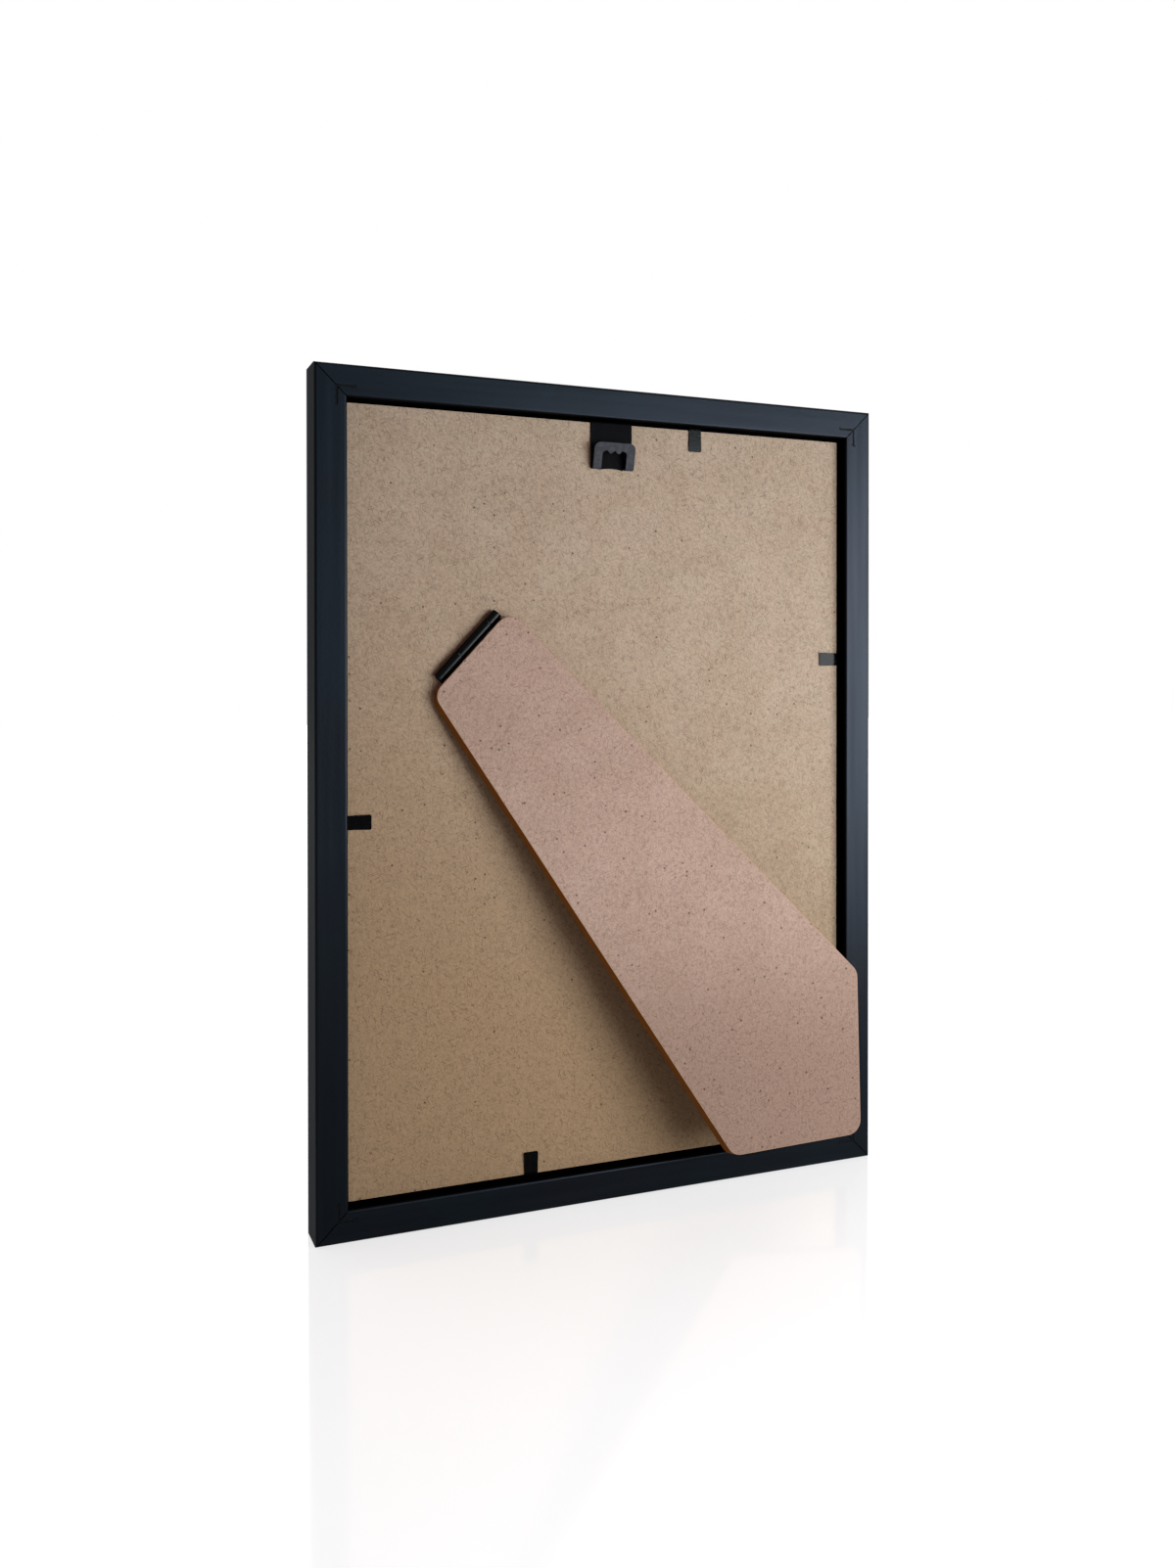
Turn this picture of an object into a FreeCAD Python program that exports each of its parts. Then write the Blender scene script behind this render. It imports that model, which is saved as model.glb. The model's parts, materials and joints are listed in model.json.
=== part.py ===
import FreeCAD, Part
import math
import os

import Sketcher

# Easel back photo frame for an A4 picture, seen from the back.
# X is the width, Y the depth with the back at +Y, Z is up.
# The origin is the centre of the bottom face.

# Every driving size in millimetres, angles in degrees and shares as plain ratios.
SIZES = {
    # the picture and what lies on it
    "picture_width": 210.0,
    "picture_height": 297.0,
    "glass_thickness": 2.0,
    "insert_thickness": 0.5,
    "board_thickness": 3.0,
    "panel_clearance": 1.0,
    # the mitred rails
    "rail_depth": 17.0,
    "rail_back_width": 12.0,
    "lip_overlap": 4.0,
    "lip_depth": 5.5,
    "arris_radius": 1.0,
    "groove_width": 0.2,
    "groove_depth": 0.5,
    # the corner nails
    "nail_inset": 8.2,
    "nail_arm": 7.0,
    "nail_thickness": 0.6,
    "nail_curl": 0.6,
    "nail_height": 7.0,
    "nail_sink": 0.2,
    # the bendable retainer tabs
    "tab_reach": 9.7,
    "tab_root_width": 5.2,
    "tab_tip_width": 5.7,
    "tab_thickness": 0.6,
    "tab_lift": 0.1,
    "tab_gap": 0.06,
    "tab_proud": 0.3,
    "shank_length": 5.0,
    "shank_point": 1.6,
    "tab_corner_radius": 0.7,
    "top_tab_share": 0.157,
    "right_tab_share": -0.169,
    "bottom_tab_share": 0.144,
    "left_tab_share": -0.023,
    # the hanger strip
    "hanger_width": 17.6,
    "hanger_thickness": 0.7,
    "hanger_drop": 18.6,
    "hanger_flap": 10.0,
    "hanger_edge_gap": 0.05,
    "fold_width": 3.0,
    "bracket_height": 10.6,
    "bracket_stand_off": 5.4,
    "bracket_corner_radius": 2.6,
    "window_width": 10.4,
    "window_height": 7.4,
    "tooth_pitch": 3.3,
    "tooth_depth": 1.1,
    "shoulder_drop": 1.3,
    "plate_scoop": 0.6,
    # the leg hinge
    "hinge_across_share": -0.2845,
    "hinge_up_share": 0.1981,
    "hinge_slope": 47.4,
    "hinge_length": 34.4,
    "knuckle_radius": 2.0,
    "leaf_thickness": 0.6,
    "leaf_length": 15.0,
    "leaf_gap": 0.1,
    "knuckle_lift": 0.15,
    "knuckle_gap": 0.15,
    "knuckle_side_gap": 0.35,
    "pin_fit": 0.05,
    "pin_recess": 0.3,
    "pin_chamfer": 0.3,
    "first_knuckle_share": 0.16,
    "second_knuckle_share": 0.48,
    "stud_radius": 1.3,
    "stud_length": 1.8,
    "stud_reach": 9.0,
    "stud_spacing": 18.0,
    # the leg
    "leg_thickness": 3.0,
    "leg_head_width": 44.6,
    "leg_head_offset": -1.1,
    "leg_head_gap": 0.5,
    "leg_corner_radius": 6.0,
    "leg_rim_radius": 0.35,
    "foot_left_across": 40.1,
    "foot_left_gap": 6.3,
    "foot_right_gap": 9.3,
    "side_bottom_gap": 10.5,
    "side_top_gap": 8.9,
    "side_height": 65.0,
    "leg_rest_angle": 8.0,
    # how far a cut runs past the face that it opens
    "cut_overrun": 1.0,
}


class Dim:
    """A size that keeps its sheet formula and its number together."""

    def __init__(self, text, value):
        self.text = text
        self.value = value

    def joined(self, sign, other, value):
        return Dim("(%s %s %s)" % (self.text, sign, other.text), value)

    def __add__(self, other):
        other = as_dim(other)
        return self.joined("+", other, self.value + other.value)

    def __sub__(self, other):
        other = as_dim(other)
        return self.joined("-", other, self.value - other.value)

    def __mul__(self, other):
        other = as_dim(other)
        return self.joined("*", other, self.value * other.value)

    def __truediv__(self, other):
        other = as_dim(other)
        return self.joined("/", other, self.value / other.value)

    def __neg__(self):
        return Dim("(0 - %s)" % self.text, -self.value)


def as_dim(number):
    return number if isinstance(number, Dim) else Dim(repr(number), float(number))


doc = FreeCAD.newDocument("EaselBackPhotoFrame")
sheet = doc.addObject("Spreadsheet::Sheet", "Sizes")


def size(name):
    return Dim("Sizes.%s" % name, SIZES[name])


for row, (alias, number) in enumerate(SIZES.items(), start=1):
    sheet.set("A%d" % row, alias)
    sheet.set("B%d" % row, str(number))
    sheet.setAlias("B%d" % row, alias)
doc.recompute()

OVERRUN = size("cut_overrun")
REBATE_WIDTH = size("picture_width") + size("panel_clearance") * 2
REBATE_HEIGHT = size("picture_height") + size("panel_clearance") * 2
OUTER_WIDTH = REBATE_WIDTH + size("rail_back_width") * 2
OUTER_HEIGHT = REBATE_HEIGHT + size("rail_back_width") * 2
RAIL_FRONT_WIDTH = size("rail_back_width") + size("lip_overlap")
GLASS_BACK = size("lip_depth") + size("glass_thickness")
INSERT_BACK = GLASS_BACK + size("insert_thickness")
BOARD_BACK = INSERT_BACK + size("board_thickness")
TAB_FLOOR = BOARD_BACK + size("tab_lift")
ZERO = as_dim(0)

# The back view: x to the right, y up and z towards the back, as every flat piece is drawn.
BACK_VIEW = FreeCAD.Rotation(FreeCAD.Vector(0, 1, 1), 180)
ALONG_X = FreeCAD.Vector(1, 0, 0)
ALONG_Y = FreeCAD.Vector(0, 1, 0)
ALONG_Z = FreeCAD.Vector(0, 0, 1)

pieces = []


def new_body(label):
    body = doc.addObject("PartDesign::Body", label)
    body.Label = label
    pieces.append(body)
    return body


def place(body, across, up, depth, turn=None):
    """Puts a body at a point of the back view, measured from the frame's centre and front face."""
    rotation = BACK_VIEW.multiply(turn) if turn else BACK_VIEW
    body.Placement = FreeCAD.Placement(FreeCAD.Vector(0, 0, 0), rotation)
    body.setExpression("Placement.Base.x", (-across).text)
    body.setExpression("Placement.Base.y", (depth - size("rail_depth") / 2).text)
    body.setExpression("Placement.Base.z", (up + OUTER_HEIGHT / 2).text)


def quarter_turn(degrees):
    return FreeCAD.Rotation(ALONG_Z, degrees)


def origin_plane(body, role):
    return next(item for item in body.Origin.OriginFeatures if item.Role == role)


def new_sketch(body, name, level=ZERO, role="XY_Plane"):
    sketch = body.newObject("Sketcher::SketchObject", name)
    sketch.AttachmentSupport = [(origin_plane(body, role), "")]
    sketch.MapMode = "FlatFace"
    sketch.setExpression("AttachmentOffset.Base.z", level.text)
    return sketch


def hold(sketch, geometry, end, x, y):
    """Ties one point of a sketch to its sheet formulas, measured from the sketch's origin."""
    for kind, reach in (("DistanceX", x), ("DistanceY", y)):
        index = sketch.addConstraint(Sketcher.Constraint(kind, -1, 1, geometry, end, reach.value))
        sketch.setExpression("Constraints[%d]" % index, reach.text)


def draw_outline(sketch, points):
    """A closed outline of straight lines through points given as pairs of sizes."""
    start = sketch.GeometryCount
    corners = [FreeCAD.Vector(x.value, y.value, 0) for x, y in points]
    for first, second in zip(corners, corners[1:] + corners[:1]):
        sketch.addGeometry(Part.LineSegment(first, second), False)
    count = len(points)
    for step in range(count):
        following = start + (step + 1) % count
        sketch.addConstraint(Sketcher.Constraint("Coincident", start + step, 2, following, 1))
    for step, (x, y) in enumerate(points):
        hold(sketch, start + step, 1, x, y)


def draw_circle(sketch, x, y, radius):
    centre = FreeCAD.Vector(x.value, y.value, 0)
    index = sketch.addGeometry(Part.Circle(centre, ALONG_Z, radius.value), False)
    hold(sketch, index, 3, x, y)
    tie = sketch.addConstraint(Sketcher.Constraint("Radius", index, radius.value))
    sketch.setExpression("Constraints[%d]" % tie, radius.text)


def rectangle(left, right, bottom, top):
    return [(left, bottom), (right, bottom), (right, top), (left, top)]


def centred(width, height):
    return rectangle(-width / 2, width / 2, -height / 2, height / 2)


def pad(body, sketch, length, both_ways=False):
    feature = body.newObject("PartDesign::Pad", sketch.Name + "_pad")
    feature.Profile = sketch
    feature.Midplane = both_ways
    feature.setExpression("Length", length.text)
    doc.recompute()
    return feature


def pocket(body, sketch, length):
    """Cuts from the sketch's level along its normal, and proves that it took material away."""
    before = body.Shape.Volume
    feature = body.newObject("PartDesign::Pocket", sketch.Name + "_pocket")
    feature.Profile = sketch
    feature.Reversed = True
    feature.setExpression("Length", length.text)
    doc.recompute()
    if not body.Shape.Volume < before:
        raise RuntimeError("%s cuts nothing from %s" % (sketch.Name, body.Label))
    return feature


def edges_where(shape, test):
    names = []
    for index, edge in enumerate(shape.Edges, start=1):
        middle = edge.valueAt((edge.FirstParameter + edge.LastParameter) / 2)
        if test(edge, middle):
            names.append("Edge%d" % index)
    return names


def round_edges(body, base, name, radius, test, kind="PartDesign::Fillet"):
    feature = body.newObject(kind, name)
    feature.Base = (base, edges_where(base.Shape, test))
    feature.setExpression("Radius" if kind.endswith("Fillet") else "Size", radius.text)
    doc.recompute()
    return feature


def near(number, target):
    """True where a coordinate is the target, to a small part of the thinnest sheet."""
    return abs(number - target.value) < size("tab_gap").value / 2


def nail_outline(apex_x, apex_y, side):
    """The nail seen from above: two arms at a right angle, each with its end curled outwards."""
    half = size("nail_thickness") / 2
    arm = size("nail_arm")
    curled = half + size("nail_curl")
    bend = arm - size("nail_thickness")
    points = [
        (half, half),
        (-bend, half),
        (-bend, curled),
        (-arm, curled),
        (-arm, -half),
        (-half, -half),
        (-half, -arm),
        (curled, -arm),
        (curled, -bend),
        (half, -bend),
    ]
    return [(apex_x + x * side, apex_y + y) for x, y in points]


def shank_outline(along, wall, inward):
    """The buried half of a tab: a flat strip with a point, from just inside the recess."""
    half = size("tab_root_width") / 2
    proud = size("tab_proud")
    straight = size("shank_length") - size("shank_point")
    reaches = [(-half, proud), (half, proud), (half, -straight)]
    reaches += [(ZERO, -size("shank_length")), (-half, -straight)]
    return [(along + x, wall + y * inward) for x, y in reaches]


def make_rail(label, length, tab_share, degrees, across, up):
    """A mitred rail: x runs along it and y outwards, with y zero on its outer face."""
    body = new_body(label)
    wide = RAIL_FRONT_WIDTH
    back = size("rail_back_width")
    half = length / 2
    depth = size("rail_depth")

    blank = new_sketch(body, label + "_outline")
    draw_outline(blank, [(-half, ZERO), (half, ZERO), (half - wide, -wide), (wide - half, -wide)])
    pad(body, blank, depth)

    rebate = new_sketch(body, label + "_rebate", size("lip_depth"))
    draw_outline(rebate, rectangle(-half, half, -wide - OVERRUN, -back))
    step = pocket(body, rebate, depth)

    def long_arris(edge, middle):
        outer = near(middle.y, ZERO) and (near(middle.z, ZERO) or near(middle.z, depth))
        inner = near(middle.y, -back) and near(middle.z, depth)
        sight = near(middle.y, -wide) and near(middle.z, ZERO)
        return near(middle.x, ZERO) and (outer or inner or sight)

    round_edges(body, step, label + "_arrises", size("arris_radius"), long_arris)

    groove = size("groove_width")
    for face, level in (("back", depth - size("groove_depth")), ("front", -OVERRUN)):
        lines = new_sketch(body, "%s_%s_grooves" % (label, face), level)
        for side in (1, -1):
            tip = (half + OVERRUN) * side
            root = (half - wide - OVERRUN) * side
            draw_outline(lines, [
                (tip, OVERRUN),
                (root, -wide - OVERRUN),
                (root - groove * side, -wide - OVERRUN),
                (tip - groove * side, OVERRUN),
            ])
        pocket(body, lines, size("groove_depth") + OVERRUN)

    nail_floor = depth - size("nail_sink") - size("nail_height")
    slots = new_sketch(body, label + "_nail_slots", nail_floor)
    for side in (1, -1):
        apex = (half - size("nail_inset")) * side
        draw_outline(slots, nail_outline(apex, -size("nail_inset"), side))
    pocket(body, slots, size("nail_height") + OVERRUN)

    tab_slot = new_sketch(body, label + "_tab_slot", TAB_FLOOR)
    draw_outline(tab_slot, shank_outline(length * tab_share, -back, -1))
    pocket(body, tab_slot, size("tab_thickness"))
    place(body, across, up, ZERO, quarter_turn(degrees))


def make_nail(label, degrees, across, up):
    body = new_body(label)
    outline = new_sketch(body, label + "_outline")
    draw_outline(outline, nail_outline(ZERO, ZERO, 1))
    pad(body, outline, size("nail_height"))
    floor = size("rail_depth") - size("nail_sink") - size("nail_height")
    place(body, across, up, floor, quarter_turn(degrees))


def make_shank(label, degrees, across, up):
    """The half of a retainer tab that is driven into the rail: y points to the frame's centre."""
    body = new_body(label)
    outline = new_sketch(body, label + "_outline")
    draw_outline(outline, shank_outline(ZERO, ZERO, 1))
    pad(body, outline, size("tab_thickness"))
    place(body, across, up, TAB_FLOOR, quarter_turn(degrees))


def make_tab(label, degrees, across, up):
    """The half of a retainer tab that bends up: its round root lies on the bend line."""
    body = new_body(label)
    thick = size("tab_thickness")
    root = size("tab_proud") + size("tab_gap") + thick / 2
    reach = size("tab_reach")
    outline = new_sketch(body, label + "_outline")
    half_root = size("tab_root_width") / 2
    half_tip = size("tab_tip_width") / 2
    draw_outline(outline, [(-half_root, root), (half_root, root), (half_tip, reach), (-half_tip, reach)])
    strip = pad(body, outline, thick)

    def tip_corner(edge, middle):
        return near(middle.y, reach) and near(middle.z, thick / 2)

    round_edges(body, strip, label + "_tip", size("tab_corner_radius"), tip_corner)
    roll = new_sketch(body, label + "_root", role="YZ_Plane")
    draw_circle(roll, root, thick / 2, thick / 2)
    pad(body, roll, size("tab_root_width"), both_ways=True)
    place(body, across, up, TAB_FLOOR, quarter_turn(degrees))


def make_panel(label, width, height, thickness, level):
    body = new_body(label)
    outline = new_sketch(body, label + "_outline")
    draw_outline(outline, centred(width, height))
    pad(body, outline, thickness)
    place(body, ZERO, ZERO, level)
    return body


SLOPE_COS = Dim("cos(Sizes.hinge_slope * 1 deg)", math.cos(math.radians(SIZES["hinge_slope"])))
SLOPE_SIN = Dim("sin(Sizes.hinge_slope * 1 deg)", math.sin(math.radians(SIZES["hinge_slope"])))
HINGE_ACROSS = size("picture_width") * size("hinge_across_share")
HINGE_UP = size("picture_height") * size("hinge_up_share")
AXIS_HEIGHT = size("knuckle_radius") + size("knuckle_lift")
AXIS_DEPTH = BOARD_BACK + AXIS_HEIGHT
LEG_LEAF_FLOOR = size("leaf_thickness") + size("leaf_gap") - AXIS_HEIGHT
LEG_FLOOR = LEG_LEAF_FLOOR + size("leaf_thickness")


def from_hinge(out, along):
    """The back view place of a point, given out from the hinge axis and up along it."""
    return (out * SLOPE_SIN + along * SLOPE_COS, along * SLOPE_SIN - out * SLOPE_COS)


def hinge_turn(opened):
    """Turns a piece drawn in the back view about the sloping hinge axis, opened in degrees."""
    slope = math.radians(SIZES["hinge_slope"])
    axis = FreeCAD.Vector(math.cos(slope), math.sin(slope), 0)
    return FreeCAD.Rotation(axis, -opened)


def leaf_turn(opened):
    """Lays a leaf's own axes, out from the pin, away from the board and down the pin, in place."""
    slope = FreeCAD.Rotation(ALONG_Z, SIZES["hinge_slope"] - 90)
    return hinge_turn(opened).multiply(slope).multiply(FreeCAD.Rotation(ALONG_X, 90))


def stud_places():
    half = size("stud_spacing") / 2
    return [(size("stud_reach"), half), (size("stud_reach"), -half)]


def make_backboard():
    thick = size("board_thickness")
    body = make_panel("backboard", size("picture_width"), size("picture_height"), thick, INSERT_BACK)
    half = size("hanger_width") / 2
    top = size("picture_height") / 2
    seat = new_sketch(body, "hanger_seat", -OVERRUN)
    draw_outline(seat, rectangle(-half, half, top - size("hanger_flap"), top + OVERRUN))
    pocket(body, seat, OVERRUN + size("hanger_thickness"))
    holes = new_sketch(body, "board_stud_holes", thick - size("stud_length"))
    for out, along in stud_places():
        x, y = from_hinge(out, along)
        draw_circle(holes, HINGE_ACROSS + x, HINGE_UP + y, size("stud_radius"))
    pocket(body, holes, size("stud_length") + OVERRUN)


def make_hanger():
    """One stamped strip: a flap in front of the board, over its edge, down and folded back up."""
    body = new_body("hanger")
    thick = size("hanger_thickness")
    board = size("board_thickness")
    top = size("picture_height") / 2
    over = top + size("hanger_edge_gap")
    bottom = top - size("hanger_drop")
    fold = size("fold_width")
    lean = size("bracket_stand_off")
    crest = bottom + size("bracket_height")
    profile = new_sketch(body, "hanger_profile", role="YZ_Plane")
    draw_outline(profile, [
        (top - size("hanger_flap"), -board),
        (over + thick, -board),
        (over + thick, thick),
        (bottom + thick, thick),
        (bottom + thick, fold - thick),
        (crest, lean - thick),
        (crest, lean),
        (bottom, fold),
        (bottom, ZERO),
        (over, ZERO),
        (over, thick - board),
        (top - size("hanger_flap"), thick - board),
    ])
    strip = pad(body, profile, size("hanger_width"), both_ways=True)

    def bends(edge, middle):
        return near(middle.x, ZERO) and near(middle.y, bottom)

    def crest_corner(edge, middle):
        return near(middle.y, crest) and abs(middle.x) > size("window_width").value / 2

    folded = round_edges(body, strip, "hanger_fold", thick, bends)
    round_edges(body, folded, "bracket_corners", size("bracket_corner_radius"), crest_corner)

    half = size("window_width") / 2
    pitch = size("tooth_pitch")
    notch = bottom + size("window_height")
    tip = notch - size("tooth_depth")
    shoulder = notch - size("shoulder_drop")
    window = new_sketch(body, "hanger_window", thick)
    draw_outline(window, [
        (-half, bottom - OVERRUN),
        (half, bottom - OVERRUN),
        (half, shoulder),
        (pitch, notch),
        (pitch / 2, tip),
        (ZERO, notch),
        (-pitch / 2, tip),
        (-pitch, notch),
        (-half, shoulder),
    ])
    pocket(body, window, size("bracket_stand_off"))

    rise = size("plate_scoop")
    radius = (half * half + rise * rise) / (rise * 2)
    scoop = new_sketch(body, "plate_scoop", -OVERRUN)
    draw_circle(scoop, ZERO, bottom + rise - radius, radius)
    pocket(body, scoop, OVERRUN + thick)
    place(body, ZERO, ZERO, BOARD_BACK)


def make_leaf(label, floor, knuckles, bore, opened, stud_side):
    """A hinge leaf: x out from the pin, y away from the board and z down along the pin."""
    body = new_body(label)
    half = size("hinge_length") / 2
    thick = size("leaf_thickness")
    radius = size("knuckle_radius")
    clear = radius + size("knuckle_side_gap")
    plate = new_sketch(body, label + "_plate", -half)
    draw_outline(plate, rectangle(clear, size("leaf_length"), floor, floor + thick))
    pad(body, plate, size("hinge_length"))
    for number, (start, end) in enumerate(knuckles, start=1):
        web = new_sketch(body, "%s_web_%d" % (label, number), start)
        draw_outline(web, rectangle(ZERO, clear + thick, floor, floor + thick))
        pad(body, web, end - start)
        roll = new_sketch(body, "%s_roll_%d" % (label, number), start)
        draw_circle(roll, ZERO, ZERO, radius)
        pad(body, roll, end - start)
    hole = new_sketch(body, label + "_bore", -half - OVERRUN)
    draw_circle(hole, ZERO, ZERO, bore)
    pocket(body, hole, size("hinge_length") + OVERRUN * 2)

    studs = new_sketch(body, label + "_studs", -floor - thick / 2, role="XZ_Plane")
    for out, along in stud_places():
        draw_circle(studs, out, along, size("stud_radius"))
    feature = pad(body, studs, size("stud_length") + thick / 2)
    feature.Reversed = stud_side > 0
    doc.recompute()
    place(body, HINGE_ACROSS, HINGE_UP, AXIS_DEPTH, leaf_turn(opened))


def make_hinge():
    half = size("hinge_length") / 2
    gap = size("knuckle_gap")
    first = size("hinge_length") * size("first_knuckle_share") - half
    second = first + size("hinge_length") * size("second_knuckle_share")
    pin = size("knuckle_radius") - size("leaf_thickness")
    outer = [(-half, first - gap), (second + gap, half)]
    make_leaf("hinge_board_leaf", -AXIS_HEIGHT, outer, pin, 0, -1)
    opened = SIZES["leg_rest_angle"]
    make_leaf("hinge_leg_leaf", LEG_LEAF_FLOOR, [(first, second)], pin + size("pin_fit"), opened, 1)

    body = new_body("hinge_pin")
    ends = half - size("pin_recess")
    rod = new_sketch(body, "hinge_pin_section", -ends)
    draw_circle(rod, ZERO, ZERO, pin)
    shaft = pad(body, rod, ends * 2)

    def rims(edge, middle):
        return near(middle.z, ends) or near(middle.z, -ends)

    round_edges(body, shaft, "hinge_pin_ends", size("pin_chamfer"), rims, "PartDesign::Chamfer")
    place(body, HINGE_ACROSS, HINGE_UP, AXIS_DEPTH, leaf_turn(0))


def make_leg():
    """The strut, drawn closed against the board and measured from the hinge's centre."""
    body = new_body("easel_leg")
    thick = size("leg_thickness")
    side = REBATE_WIDTH / 2 - HINGE_ACROSS
    floor = -REBATE_HEIGHT / 2 - HINGE_UP
    head = size("knuckle_radius") + size("leg_head_gap")
    half = size("leg_head_width") / 2
    outline = new_sketch(body, "leg_outline", LEG_FLOOR)
    draw_outline(outline, [
        from_hinge(head, size("leg_head_offset") - half),
        (size("foot_left_across") - HINGE_ACROSS, floor + size("foot_left_gap")),
        (side - size("side_bottom_gap"), floor + size("foot_right_gap")),
        (side - size("side_top_gap"), floor + size("foot_right_gap") + size("side_height")),
        from_hinge(head, size("leg_head_offset") + half),
    ])
    slab = pad(body, outline, thick)
    middle_level = LEG_FLOOR + thick / 2

    def upright(edge, middle):
        return near(middle.z, middle_level)

    def outer_rim(edge, middle):
        return near(middle.z, LEG_FLOOR + thick)

    rounded = round_edges(body, slab, "leg_corners", size("leg_corner_radius"), upright)
    round_edges(body, rounded, "leg_rim", size("leg_rim_radius"), outer_rim)
    holes = new_sketch(body, "leg_stud_holes", LEG_FLOOR - OVERRUN)
    for out, along in stud_places():
        x, y = from_hinge(out, along)
        draw_circle(holes, x, y, size("stud_radius"))
    pocket(body, holes, size("stud_length") + OVERRUN)
    place(body, HINGE_ACROSS, HINGE_UP, AXIS_DEPTH, hinge_turn(SIZES["leg_rest_angle"]))


HALF_WIDTH = OUTER_WIDTH / 2
HALF_HEIGHT = OUTER_HEIGHT / 2
WALL_ACROSS = REBATE_WIDTH / 2
WALL_UP = REBATE_HEIGHT / 2

make_rail("rail_top", OUTER_WIDTH, size("top_tab_share"), 0, ZERO, HALF_HEIGHT)
make_rail("rail_right", OUTER_HEIGHT, size("right_tab_share"), -90, HALF_WIDTH, ZERO)
make_rail("rail_bottom", OUTER_WIDTH, size("bottom_tab_share"), 180, ZERO, -HALF_HEIGHT)
make_rail("rail_left", OUTER_HEIGHT, size("left_tab_share"), 90, -HALF_WIDTH, ZERO)

NAIL_ACROSS = HALF_WIDTH - size("nail_inset")
NAIL_UP = HALF_HEIGHT - size("nail_inset")
make_nail("v_nail_top_right", 0, NAIL_ACROSS, NAIL_UP)
make_nail("v_nail_top_left", 90, -NAIL_ACROSS, NAIL_UP)
make_nail("v_nail_bottom_left", 180, -NAIL_ACROSS, -NAIL_UP)
make_nail("v_nail_bottom_right", -90, NAIL_ACROSS, -NAIL_UP)

TAB_PLACES = (
    ("top", 180, OUTER_WIDTH * size("top_tab_share"), WALL_UP),
    ("right", 90, WALL_ACROSS, -(OUTER_HEIGHT * size("right_tab_share"))),
    ("bottom", 0, -(OUTER_WIDTH * size("bottom_tab_share")), -WALL_UP),
    ("left", -90, -WALL_ACROSS, OUTER_HEIGHT * size("left_tab_share")),
)
for name, degrees, across, up in TAB_PLACES:
    make_shank("tab_shank_" + name, degrees, across, up)
    make_tab("retainer_tab_" + name, degrees, across, up)

make_panel("glass", size("picture_width"), size("picture_height"), size("glass_thickness"), size("lip_depth"))
make_panel("insert_sheet", size("picture_width"), size("picture_height"), size("insert_thickness"), GLASS_BACK)
make_backboard()
make_hanger()
make_hinge()
make_leg()
doc.recompute()

for item in doc.Objects:
    if "Invalid" in item.State or "Error" in item.State:
        raise RuntimeError("%s failed: %s" % (item.Name, item.State))
os.makedirs("parts", exist_ok=True)
for body in pieces:
    shape = body.Shape
    if shape.isNull() or not shape.isValid() or not shape.Solids:
        raise RuntimeError("%s has no sound solid" % body.Label)
for body in pieces:
    body.Shape.exportStep("parts/%s.step" % body.Label)
print("%d pieces written" % len(pieces))
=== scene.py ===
"""Easel back photo frame: the finish of every piece, the white tabletop, the light and the camera."""

import json
import math

import bmesh
import bpy
import numpy as np
from bpy.props import FloatProperty, FloatVectorProperty, PointerProperty
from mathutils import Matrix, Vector


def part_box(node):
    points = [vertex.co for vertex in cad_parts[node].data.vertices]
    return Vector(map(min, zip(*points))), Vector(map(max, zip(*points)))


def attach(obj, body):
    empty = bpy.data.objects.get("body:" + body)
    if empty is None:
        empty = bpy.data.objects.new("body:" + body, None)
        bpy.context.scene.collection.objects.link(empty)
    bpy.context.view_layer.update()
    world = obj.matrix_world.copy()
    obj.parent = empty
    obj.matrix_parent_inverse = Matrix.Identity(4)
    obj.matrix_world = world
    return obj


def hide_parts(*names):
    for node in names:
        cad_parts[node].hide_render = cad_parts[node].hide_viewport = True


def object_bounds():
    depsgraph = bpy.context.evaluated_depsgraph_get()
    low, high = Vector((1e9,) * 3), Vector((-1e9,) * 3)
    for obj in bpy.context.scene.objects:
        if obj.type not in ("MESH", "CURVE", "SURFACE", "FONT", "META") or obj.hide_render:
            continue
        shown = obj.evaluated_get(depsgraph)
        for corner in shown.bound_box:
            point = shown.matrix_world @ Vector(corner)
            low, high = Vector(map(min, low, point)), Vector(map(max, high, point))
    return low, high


bl_info = {
    "name": "Easel back photo frame",
    "version": (1, 0, 0),
    "blender": (4, 5, 0),
    "location": "3D View > Sidebar > Photo frame",
    "description": "Finishes the pieces of an easel back photo frame and sets its stage",
    "category": "Object",
}

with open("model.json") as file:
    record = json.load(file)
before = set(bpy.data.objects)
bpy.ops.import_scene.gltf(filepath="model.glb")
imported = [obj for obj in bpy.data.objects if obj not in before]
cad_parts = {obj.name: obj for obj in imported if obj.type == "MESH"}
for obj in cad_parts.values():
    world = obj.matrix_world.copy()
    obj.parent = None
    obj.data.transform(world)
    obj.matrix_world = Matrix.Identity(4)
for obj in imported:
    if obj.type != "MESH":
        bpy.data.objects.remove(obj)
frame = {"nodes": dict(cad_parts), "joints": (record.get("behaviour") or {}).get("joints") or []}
CAD_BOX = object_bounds()
LEG_HINGE = next(joint for joint in frame["joints"] if joint["name"] == "leg_hinge")
OUT_OF_BOARD = Vector((0, 1, 0))
SIDES = ("top", "right", "bottom", "left")
MM = 0.001
# Points nearer to each other than this are welded.
WELD = 0.001 * MM
FRAME_HALF_SIZE = ((CAD_BOX[1][0] - CAD_BOX[0][0]) / 2, 0.0, (CAD_BOX[1][2] - CAD_BOX[0][2]) / 2)
FRAME_MIDDLE = (0.0, 0.0, FRAME_HALF_SIZE[2])
# From the frame's outer edges to the middle of a corner nail's arms, the arms' length, and the depth
# behind which their marks show.
NAIL_INSET = 8.2 * MM
NAIL_ARM = 7 * MM
NAILS_BEHIND = 8 * MM
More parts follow.
